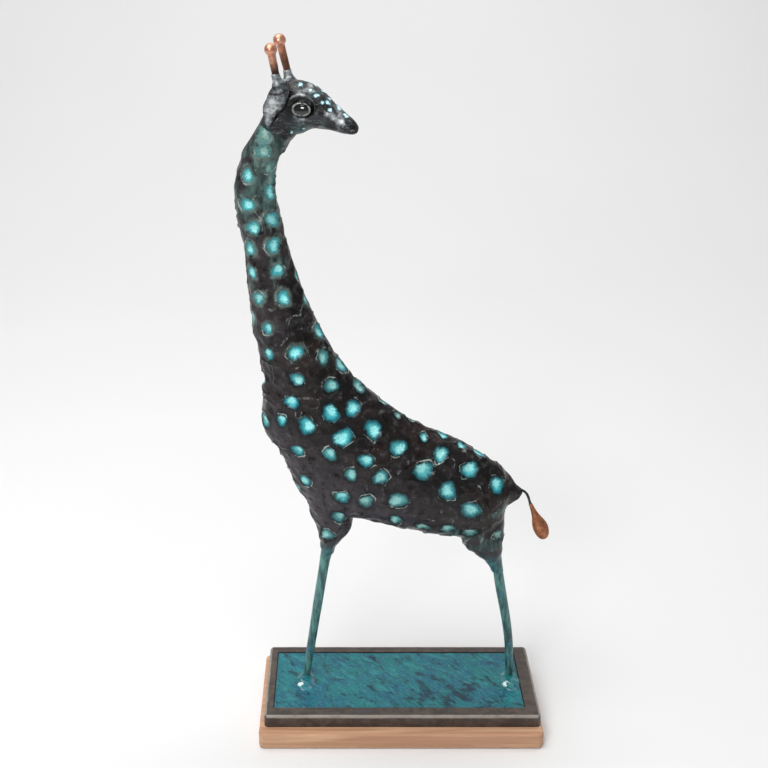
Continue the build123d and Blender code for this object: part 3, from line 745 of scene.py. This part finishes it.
def hammer(p, n):
    """Displacement along the normal and the paint masks for points of the figure's skin."""
    nearest = np.full(len(p), 9.0)
    second = np.full(len(p), 9.0)
    spot = np.full(len(p), -1.0)
    size_at = np.full(len(p), 4 * MM)
    tone, depth, shown, heart = (np.zeros(len(p)) for _ in range(4))
    local = np.random.default_rng(SEED + 1)
    for centre, normal, size, colour in dents:
        phase = local.uniform(0, 2 * math.pi, 5)
        shift = local.uniform(-0.32, 0.32, 2) * size
        sides = local.integers(4, 8)
        offset = p - centre
        reach = DENT_REACH * size * DENT_EDGE
        near = np.flatnonzero(np.einsum("ij,ij->i", offset, offset) < reach ** 2)
        near = near[n[near] @ normal > 0.05]
        if len(near) == 0:
            continue
        offset = offset[near]
        helper = np.array((0.0, 0.0, 1.0) if abs(normal[2]) < 0.9 else (1.0, 0.0, 0.0))
        u = unit(np.cross(helper, normal))
        v = np.cross(normal, u)
        angle = np.arctan2(offset @ v, offset @ u)
        length = np.linalg.norm(offset, axis=1)
        oval = 1 + 0.1 * np.sin(2 * angle + phase[0])
        wedge = 2 * math.pi / sides
        polygon = math.cos(wedge / 2) / np.cos((angle + phase[3]) % wedge - wedge / 2)
        cell = length / (size * DENT_EDGE * (0.12 + 0.88 * polygon) * oval)
        closer = cell < nearest[near]
        second[near] = np.where(closer, nearest[near], np.minimum(second[near], cell))
        chosen = near[closer]
        nearest[chosen] = cell[closer]
        size_at[chosen] = size
        depth[chosen] = (PLAIN_DEPTH if colour is None else 1.0) * size * DENT_DEPTH
        visible = 0.5 + 0.5 * np.sin(angle[closer] + phase[4])
        shown[chosen] = 0.25 * visible if colour is None else visible
        if colour is not None and colour > 0.03:
            wobble = oval + 0.07 * np.sin(3 * angle + phase[1]) + 0.04 * np.sin(7 * angle + phase[2])
            inside = 1 - length / (1.14 * size * wobble)
            better = inside > spot[near]
            warm = 1 - np.hypot(offset @ u - shift[0], offset @ v - shift[1]) / (size * wobble)
            heart[near[better]] = np.clip(warm[better], 0, 1)
            spot[near[better]] = inside[better]
            tone[near[better]] = colour
    scale = size_at * DENT_EDGE
    rim = hump(nearest * scale, scale, RIDGE_WIDTH)
    between = hump((second - nearest) * scale * 0.6, 0, RIDGE_WIDTH) * step_between(1.5, 1.0, nearest)
    ridge = np.maximum(rim, between)
    cup = 1 - step_between(0.1, 1.0, nearest)
    fold = (1 - np.abs(value_noise(p, 10 * MM, SEED + 21))) ** 9
    fold *= step_between(0.7, 1.0, nearest) * step_between(-0.5, 0.3, value_noise(p, 18 * MM, SEED + 22))
    lumps = FOLD_HEIGHT * fold
    for size, height, seed in ((14, 1.2, 2), (6.5, 0.5, 3), (2.2, 0.06, 4)):
        lumps += value_noise(p, size * MM, SEED + seed) * height * MM
    shown = shown * np.clip(0.8 + 0.6 * value_noise(p, 4 * MM, SEED + 20), 0, 1)
    pinch = hump(p[:, 0], RUMP_PINCH[0], PINCH_RADIUS) * hump(p[:, 2], RUMP_PINCH[1], PINCH_RADIUS)
    move = lumps - depth * cup + RIDGE_HEIGHT * ridge * (0.18 + 0.82 * shown) - PINCH_DEPTH * pinch
    # Where the ridges and folds are painted pale: worn metal, and partly a painted highlight.
    worn_and_glint = np.maximum(ridge * shown, 0.62 * fold * step_between(0.55, 0.9, fold))
    return move, spot, tone, worn_and_glint, heart


def skin_masks(p):
    """Washes of thin verdigris and the cooler grey of the chest, belly and thighs."""
    x, _, z = p.T / MM
    streak = value_noise(p * np.array((1.0, 1.0, 0.45)), 7 * MM, SEED + 5)
    upper_neck = step_between(372, 386, z) * (0.6 + 0.45 * streak)
    upper_neck += step_between(262, 330, z) * 0.44 * (0.6 + 0.9 * streak)
    smear = value_noise(p * np.array((0.45, 1.0, 1.1)), 5.5 * MM, SEED + 23)
    belly = step_between(172, 148, z - 0.22 * x) * (0.35 + 0.6 * step_between(25, 50, x))
    wash = np.clip(upper_neck + belly * (0.6 + 1.1 * smear), 0, 1)
    cool = step_between(205, 150, z + 0.55 * x) * 0.9 + 0.4 * step_between(-60, -95, x)
    cool = np.clip(cool + 0.25 * value_noise(p, 20 * MM, SEED + 6), 0, 1)
    return wash, cool


def subset(names, skin):
    """The skin's points, quads and source point numbers round some CAD nodes."""
    faces = quads[np.isin(owner, [FIGURE.index(name) for name in names])]
    used, inverse = np.unique(faces, return_inverse=True)
    return skin[used], inverse.reshape(faces.shape), used


def height_fade(p):
    """0 on the rods and their ends, 1 on the body: rods stay straight and slim."""
    return step_between(112 * MM, 134 * MM, p[:, 2])


move, spot, tone, ridge, heart = hammer(points, normals)
wash, cool = skin_masks(points)
# 0 on the head and 1 below it, across the slanting line where the neck meets the skull:
head_fade = step_between(424 * MM, 416 * MM, points[:, 2] - 0.4 * (points[:, 0] + 82 * MM))
fade = head_fade * (0.12 + 0.88 * height_fade(points))

# ---- the head's paint and form
# Pale flecks on the head stand in rows too: forward, to the near side and up, of the first and
# the last, and how many. In millimetres.
FLECK_ROWS = [
    ((10, 4, 15), (38, 0, -2), 6),      # down the face
    ((20, 5, 10), (30, 5, 2), 3),       # beside it
    ((4, 9, -12), (12, 7, -11), 2),     # under the jaw
]
FLECK_RADIUS = 1.3
FLECK_STRAY = 1.0


def eye_axes(side):
    """Centre and axes (along, up, out) of an eye, from the shape of its bezel."""
    xyz, tri, _ = node_arrays([f"{side}_eye_bezel"])
    sign = SIDES[side]
    cross = np.cross(xyz[tri[:, 1]] - xyz[tri[:, 0]], xyz[tri[:, 2]] - xyz[tri[:, 0]])
    facing = cross[cross @ HEAD_AXES[1] * sign > 0.8 * np.linalg.norm(cross, axis=1)]
    out = unit(facing.sum(axis=0))
    along = unit(HEAD_AXES[0] - out * (HEAD_AXES[0] @ out))
    up = np.cross(out, along) * -sign
    middle = (xyz.min(axis=0) + xyz.max(axis=0)) / 2
    top = ((xyz - middle) @ out).max()
    return middle + out * top, along, up, out


EYES = {side: eye_axes(side) for side in SIDES}
BEZEL_LENGTH = 5.7      # this and the next seven in millimetres
BEZEL_HEIGHT = 3.9
SOCKET_FLOOR = -1.9     # from the top of the bezel
BROW_HEIGHT = 0.8
BROW_SHADE = 0.7        # how deep the hollow under the brow is
TEMPLE_DEPTH = 0.6
NOSTRIL_DEPTH = 0.55
MOUTH_DEPTH = 0.45


def head_features(p):
    """Displacements and masks for points of the head's skin, in millimetres: f, s and h run
    forward, to the left and up from the head's centre, a and b along and up from an eye's."""
    f, s, h = in_head(p)
    move = 0.4 * value_noise(p, 7 * MM, SEED + 7) + 0.26 * value_noise(p, 3 * MM, SEED + 8)
    inward = np.zeros_like(p)
    painted_shade = np.zeros(len(p))
    rubbed_and_sheen = 0.75 * step_between(-0.25, 0.6, value_noise(p, 6 * MM, SEED + 19))
    rubbed_and_sheen *= 0.15 + 0.85 * step_between(5, 13, f)
    for side, (centre, along, up, out) in EYES.items():
        offset = (p - centre) / MM
        a, b = offset @ along, offset @ up
        here = step_between(1.0, 3.0, s * SIDES[side])
        q = np.hypot(a / BEZEL_LENGTH, b / BEZEL_HEIGHT)
        sunk = step_between(1.5, 1.12, q) * here
        inward += (np.minimum(SOCKET_FLOOR - offset @ out, 0) * sunk)[:, None] * out
        # Painted shade round the eye, in the socket next to the bezel.
        painted_shade = np.maximum(painted_shade, step_between(1.7, 1.25, q) * here)
        arch = np.hypot((a + 0.8) / 8.6, (b - 0.4) / 6.9)
        over = step_between(-1.0, 2.5, b + 0.3 * a) * here
        brow = hump(arch, 1, 0.1) * over
        lid = hump(q, 1.62, 0.12) * step_between(-1.0, -3.0, b) * here
        rubbed_and_sheen = np.maximum(rubbed_and_sheen, np.maximum(0.9 * brow, 0.3 * lid))
        # The dip under the brow and the temple behind the eye are pressed in and painted dark as shade.
        shade = hump(arch, 0.72, 0.2) * over
        temple = hump(a, -9.3, 3.8) * hump(b, -4, 7.5) * here
        painted_shade = np.maximum(painted_shade, np.maximum(0.9 * shade, temple))
        # The cheek ridge is raised and painted pale silver: partly rubbed metal, partly a painted
        # highlight.
        cheek = hump(h + 0.62 * (f - 30.2), -1.4, 2.3)
        cheek *= step_between(25.5, 29, f) * step_between(41, 37.5, f) * here
        rubbed_and_sheen = np.maximum(rubbed_and_sheen * (1 - painted_shade), 1.05 * cheek)
        # The nostril is pressed in and painted dark as shade.
        nostril = hump(f, 39.6, 1.5) * hump(h, -5.4, 0.8) * here
        painted_shade = np.maximum(painted_shade, 0.8 * nostril)
        move += BROW_HEIGHT * brow - BROW_SHADE * shade - TEMPLE_DEPTH * temple
        move += 0.3 * lid + 0.3 * cheek - NOSTRIL_DEPTH * nostril
    mouth = hump(h + 0.12 * (f - 30), -8.2, 0.5) * step_between(16, 22, f)
    mouth *= step_between(43.5, 41.5, f)
    move -= MOUTH_DEPTH * mouth
    nose = step_between(40.5, 43.5, f)
    jaw = step_between(-7, -12, h)
    # Painted shade in the mouth line and under the jaw; the nose end is darkened the same way.
    for amount, mask in ((0.6, mouth), (0.55, nose), (0.3, jaw)):
        painted_shade = np.maximum(painted_shade, amount * mask)
    return move * MM, inward * MM, painted_shade, rubbed_and_sheen


def fleck_mask(p):
    """1 at the heart of a fleck, 0 at its edge, below 0 outside."""
    spot = np.full(len(p), -1.0)
    local = np.random.default_rng(SEED + 9)
    for first, last, count in FLECK_ROWS:
        for t in np.linspace(0, 1, count):
            for sign in (-1, 1):
                place = np.array(first) * (1 - t) + np.array(last) * t
                place = place * (1, sign, 1) + local.uniform(-FLECK_STRAY, FLECK_STRAY, 3)
                radius = FLECK_RADIUS * local.uniform(0.75, 1.25)
                wide = local.uniform(0.75, 1.3)
                middle = skin_tree.find_nearest(Vector(head_centre + place @ HEAD_AXES * MM))[0]
                offset = (p - np.array(middle)) / MM @ HEAD_AXES.T
                length = np.linalg.norm(offset * np.array((1 / wide, 1.0, wide)), axis=1)
                spot = np.maximum(spot, 1 - length / (1.24 * radius))
    return spot


# ---- figure: its pieces
skin = points + normals * (move * fade)[:, None]
skin_normals = normals_of(skin, quads)
for name in SHELLS:
    piece_points, piece_quads, used = subset([name], skin)
    masks = {"spot": np.where(height_fade(points)[used] > 0.2, spot[used], -1), "tone": tone[used],
             "ridge": (ridge * fade)[used], "wash": wash[used], "cool": cool[used],
             "heart": heart[used]}
    finish_piece(name.replace("_shell", "_skin"), piece_points, piece_quads, LOOKS["body"], [name],
                 masks, skin_normals[used])

for name in LEGS:
    piece_points, piece_quads, used = subset([name], skin)
    finish_piece(name + "_rod", piece_points, piece_quads, LOOKS["leg"], [name],
                 None, skin_normals[used])

head_move, inward, painted_shade, rubbed_and_sheen = head_features(points)
head_skin = skin + (normals * head_move[:, None] + inward) * (1 - head_fade)[:, None]
head_normals = normals_of(head_skin, quads)
head_nodes = [name for name in FIGURE if name not in SHELLS + LEGS]
piece_points, piece_quads, used = subset(head_nodes, head_skin)
f, s, h = in_head(points[used])
sleeve = step_between(12, 17, h) * step_between(3, -1, f)
under = step_between(-6, -11, h) * step_between(20, 12, f) * step_between(3, 9, f)
finish_piece("head_skin", piece_points, piece_quads, LOOKS["head"], ["head"],
             {"spot": fleck_mask(points[used]), "painted_shade": painted_shade[used],
              "rubbed_and_sheen": np.maximum(rubbed_and_sheen[used], 0.9 * sleeve),
              "teal": np.maximum(0.25 * sleeve, 0.8 * under)}, head_normals[used])


# ---- eyes and their bezels
EYE_LENGTH = 4.9 * MM
EYE_TALLNESS = 3.3 * MM
EYE_RISE = 2.2 * MM
EYE_SUNK = 1.0 * MM     # the dome's edge, below the top of the bezel
EYE_DROOP = 1.3 * MM    # how far the eye's highest point lies below its middle
DOME_RINGS = 18
DOME_TURNS = 64
RIM_TURNS = 128
RIM_SEGMENTS = 24


def eye_bead(side):
    """The glossy dome of an eye, highest below its middle."""
    centre, along, up, out = EYES[side]
    if np.cross(along, up) @ out < 0:
        along = -along
    profile = [(0, 0, -1.6 * MM), (4.2 * MM, 2.8 * MM, -1.5 * MM)]
    for lean in np.linspace(math.pi / 2, 0, DOME_RINGS + 1):
        wide = math.sin(lean)
        profile.append((EYE_LENGTH * wide, EYE_TALLNESS * wide, EYE_RISE * math.cos(lean) - EYE_SUNK))
    dome, faces = lathe(centre, (along, up, out), profile, DOME_TURNS)
    risen = [max(0.0, (point - centre) @ out + EYE_SUNK) / EYE_RISE for point in dome]
    dome = [point - up * EYE_DROOP * rise for point, rise in zip(dome, risen)]
    finish_piece(f"{side}_eye_bead", dome, faces, LOOKS["eye"], [f"{side}_eye"])


def eye_rim(side):
    """The bezel: an oval ring of uneven thickness."""
    centre, along, up, out = EYES[side]
    if np.cross(along, up) @ out < 0:
        along = -along
    half_length, half_height = BEZEL_LENGTH * MM, BEZEL_HEIGHT * MM
    tube = []
    for angle in np.arange(RIM_TURNS) * 2 * math.pi / RIM_TURNS:
        thick = (0.62 + 0.1 * math.cos(angle * 2 + 0.8) - 0.14 * math.sin(angle)) * MM
        ring_a = (half_length - 0.5 * MM) * math.cos(angle)
        ring_b = (half_height - 0.3 * MM) * math.sin(angle)
        away = Vector((math.cos(angle) / half_length, math.sin(angle) / half_height)).normalized()
        for lean in np.arange(RIM_SEGMENTS) * 2 * math.pi / RIM_SEGMENTS:
            spread = thick * math.cos(lean)
            lift = thick * math.sin(lean) * 0.9 - 0.15 * MM
            tube.append(centre + along * (ring_a + away.x * spread)
                        + up * (ring_b + away.y * spread) + out * lift)
    index = np.arange(len(tube)).reshape(RIM_TURNS, RIM_SEGMENTS)
    after = np.roll(index, -1, axis=0)
    faces = np.stack([index, after, np.roll(after, -1, axis=1), np.roll(index, -1, axis=1)], axis=-1)
    finish_piece(f"{side}_eye_rim", tube, faces.reshape(-1, 4), LOOKS["bezel"],
                 [f"{side}_eye_bezel"])


for side in SIDES:
    eye_bead(side)
    eye_rim(side)


# ---- ears, ossicones and tail tuft
EAR_WIDER = 0.45        # how much wider an ear is at its root than its solid
EAR_SLIMMER = 0.22      # how much narrower towards its tip
EAR_TALLER = {"left": 0.0, "right": 0.24}       # how much taller
EAR_RIM = 0.35 * MM


def refined(name, voxel, rounds, *bumps):
    """A smooth, slightly uneven surface round a CAD node. Bumps are (size, height, seed), and the
    voxel and the bumps are in millimetres."""
    p, q = outer_island(*remeshed([name], voxel * MM))
    p = smoothed(p, q, rounds)
    n = normals_of(p, q)
    for size, height, seed in bumps:
        p = p + n * (value_noise(p, size * MM, SEED + seed) * height * MM)[:, None]
    return p, q


def ear_piece(side):
    """The ear leaf, widened forward at its root, with a raised dark rim round a pale middle, partly rubbed
    metal and partly a painted highlight, and painted shade along its front edge next to the head.
    """
    p, q = refined(f"{side}_ear", 0.28, 5, (4, 0.16, 10), (1.6, 0.05, 11))
    f, _, h = in_head(p)
    f -= f.min()
    wider = EAR_WIDER * step_between(-4, 4, h) * step_between(17, 6, h)
    wider = (wider - EAR_SLIMMER * step_between(0, -7, h)) * f
    taller = EAR_TALLER[side] * (h - h.min())
    p = p + (wider[:, None] * HEAD_AXES[0] + taller[:, None] * HEAD_AXES[2]) * MM
    n = normals_of(p, q)
    on_edge = p[np.abs(n @ HEAD_AXES[1]) < 0.35]
    edge = KDTree(len(on_edge))
    for index, place in enumerate(on_edge):
        edge.insert(place, index)
    edge.balance()
    away = np.array([edge.find(place)[2] for place in p]) / MM
    rim = hump(away, 0.9, 0.7)
    p = p + n * (rim * EAR_RIM)[:, None]
    front = step_between(0.45, 0.95, f / f.max())
    # The middle is painted pale, as rubbed metal and partly a painted highlight, less so towards the front
    # and top; the front edge next to the head gets painted shade.
    rubbed_and_sheen = 0.26 + 0.78 * step_between(0.3, 3.0, away) * (1 - 0.8 * front) + 0.3 * rim * (1 - front)
    rubbed_and_sheen -= 0.3 * step_between(4, 10, h)
    finish_piece(f"{side}_ear_leaf", p, q, LOOKS["head"], [f"{side}_ear"],
                 {"spot": np.full(len(p), -1.0), "painted_shade": 0.8 * step_between(1.2, 0.3, away) * front,
                  "rubbed_and_sheen": rubbed_and_sheen, "teal": 0.7 * step_between(-5, -11, h)})


for side in SIDES:
    ear_piece(side)

# Each ossicone's dark film, and how far below its tip, in millimetres, it begins and is full.
for side, film, start, end in (("left", srgb(120, 84, 64), 7, 16), ("right", srgb(62, 46, 42), 8, 18)):
    name = f"{side}_ossicone"
    p, q = refined(name, 0.25, 8, (3, 0.12, 12))
    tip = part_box(name)[1][2]
    metal = copper(f"horn_copper_{side}", srgb(232, 174, 148), srgb(198, 132, 104), 0.24,
                   film, tip - start * MM, tip - end * MM)
    finish_piece(f"{side}_ossicone_rod", p, q, (metal, "bare_copper"), [name])

p, q = refined("tail_tuft", 0.28, 4, (6, 0.22, 13))
metal = copper("tuft_copper", srgb(190, 128, 92), srgb(146, 92, 64), 0.42)
finish_piece("tail_tuft_drop", p, q, (metal, "bare_copper"), ["tail_tuft"])
p, q = refined("tail_wire", 0.2, 4, (3, 0.08, 14))
metal = copper("wire_film", srgb(66, 78, 72), srgb(30, 36, 34), 0.4)
finish_piece("tail_wire_rod", p, q, (metal, "leg_patina"), ["tail_wire"])


# ---- the base
SHEET_STEP = 0.5 * MM
STROKE_HEIGHT = 0.05 * MM
SHEET_WAVE = 0.1 * MM
EDGE_DROP = 0.35 * MM       # how far the sheet is rounded down at its edges


def plate_sheet():
    """The plate's upper face and its sides, as one fine closed sheet with brush marks."""
    low, high = (np.array(c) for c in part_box("patina_plate"))
    xs, ys = (np.linspace(start, end, int((end - start) / SHEET_STEP) + 1)
              for start, end in zip(low[:2], high[:2]))
    gx, gy = np.meshgrid(xs, ys, indexing="ij")
    p = np.stack([gx.ravel(), gy.ravel(), np.full(gx.size, high[2])], axis=1)
    cosine, sine = math.cos(STROKE_TURN), math.sin(STROKE_TURN)
    slant = p @ np.array(((cosine, sine, 0), (-sine, cosine, 0), (0, 0, 1))).T
    strokes = value_noise(slant * np.array((0.16, 1.0, 1.0)), 1.7 * MM, SEED + 15)
    edge = np.minimum(p - low, high - p)[:, :2].min(axis=1) / MM
    p[:, 2] += STROKE_HEIGHT * strokes + SHEET_WAVE * value_noise(p, 11 * MM, SEED + 16)
    p[:, 2] -= EDGE_DROP * step_between(1.2, 0.0, edge)
    across, depth, _ = ((p - low) / (high - low)).T
    front_right = hump(across, 0.72, 0.2) * hump(depth, 0.2, 0.3)
    index = np.arange(gx.size).reshape(gx.shape)
    q = np.stack([index[:-1, :-1], index[1:, :-1], index[1:, 1:], index[:-1, 1:]], axis=-1)
    loop = np.concatenate([index[:-1, 0], index[-1, :-1], index[:0:-1, -1], index[0, :0:-1]])
    foot = len(p) + np.arange(len(loop))
    under = p[loop]
    under[:, 2] = low[2]
    walls = np.stack([foot, np.roll(foot, -1), np.roll(loop, -1), loop], axis=1)
    p = np.concatenate([p, under])
    none = np.zeros(len(loop))
    faces = list(q.reshape(-1, 4)) + list(walls) + [foot[::-1]]
    masks = {"border": step_between(1.6, 0.3, np.concatenate([edge, none])),
             "dim": np.concatenate([front_right, none]), "painted_glint": np.zeros(len(p))}
    finish_piece("patina_plate_sheet", p, faces, LOOKS["plate"], ["patina_plate"], masks)


def weld_mound(name):
    """A foot's weld, with a painted white highlight on its front left."""
    p, q = refined(name, 0.3, 6, (3.6, 0.5, 17), (1.8, 0.08, 18))
    low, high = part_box(name)
    # Painted highlight: a white patch on the mound's front left.
    painted_glint = hump(p[:, 0], (low[0] + high[0]) / 2 - 4 * MM, 2.4 * MM) * hump(p[:, 1], -2.5 * MM, 3.2 * MM)
    none = np.zeros(len(p))
    finish_piece(name + "_mound", p, q, LOOKS["weld"], [name],
                 {"border": none, "dim": none, "painted_glint": painted_glint})


plate_sheet()
for name in ("front_foot_weld", "rear_foot_weld"):
    weld_mound(name)

for name, material in (("wood_plinth", plinth_wood()), ("dark_slab", slab_patina(*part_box("dark_slab"))),
                       ("leg_nuts", STEEL), ("leg_washers", STEEL), ("armature", STEEL)):
    mesh = nodes[name].data
    mesh.materials.clear()
    mesh.materials.append(material)

# ---- floor, light and camera
FLOOR_HALF = 3.0
SWEEP_START = 0.9
SWEEP_RADIUS = 1.2
WALL_HEIGHT = 4.0
FLOOR_GAP = 0.2 * MM        # under the plinth


def backdrop():
    """A pale floor that curves up behind."""
    profile = [(-FLOOR_HALF, 0.0)]
    for angle in np.linspace(0, math.pi / 2, 25):
        profile.append((SWEEP_START + SWEEP_RADIUS * math.sin(angle), SWEEP_RADIUS * (1 - math.cos(angle))))
    profile.append((SWEEP_START + SWEEP_RADIUS, WALL_HEIGHT))
    verts = [(side * FLOOR_HALF, y, z - FLOOR_GAP) for side in (-1, 1) for y, z in profile]
    count = len(profile)
    faces = [(i, count + i, count + i + 1, i + 1) for i in range(count - 1)]
    mesh = new_mesh("floor", verts, faces)
    mesh.shade_smooth()
    obj = new_object("floor", mesh)
    p = Paint("floor_paper")
    colour = p.mix(p.noise(400 * MM, 2.0), (0.79, 0.79, 0.79), (0.83, 0.83, 0.83))
    obj.data.materials.append(p.done(colour, 0.9, 0.0, None, Specular_IOR_Level=0.1))


def area_light(name, place, aim, size, power):
    data = bpy.data.lights.new(name, "AREA")
    data.shape = "RECTANGLE"
    data.size, data.size_y = size
    data.energy = power
    obj = bpy.data.objects.new(name, data)
    bpy.context.scene.collection.objects.link(obj)
    obj.location = place
    obj.rotation_euler = (Vector(aim) - Vector(place)).to_track_quat("-Z", "Y").to_euler()


backdrop()
scene = bpy.context.scene
world = bpy.data.worlds.new("studio")
scene.world = world
world.use_nodes = True
background = world.node_tree.nodes["Background"].inputs
background["Color"].default_value = (1.0, 1.0, 1.0, 1)
background["Strength"].default_value = 0.28
area_light("top_box", (-0.4, -0.25, 1.45), (0, 0.0, 0.15), (0.9, 0.7), 12.5)
area_light("front_box", (-0.6, -1.4, 1.0), (0, 0, 0.25), (0.5, 0.4), 9)
area_light("back_wash", (0.0, 0.7, 2.1), (0, 1.7, 0.4), (2.4, 0.8), 24)
scene.view_settings.view_transform = "Standard"

camera_data = bpy.data.cameras.new("camera")
camera_data.sensor_width = 36.0
camera_data.lens = 56.25
camera_data.shift_x = 0.048
camera = bpy.data.objects.new("camera", camera_data)
scene.collection.objects.link(camera)
camera.location = (-0.038, -0.721, 0.568)
camera.rotation_euler = (math.radians(90 - 23.21), 0, 0)
scene.camera = camera
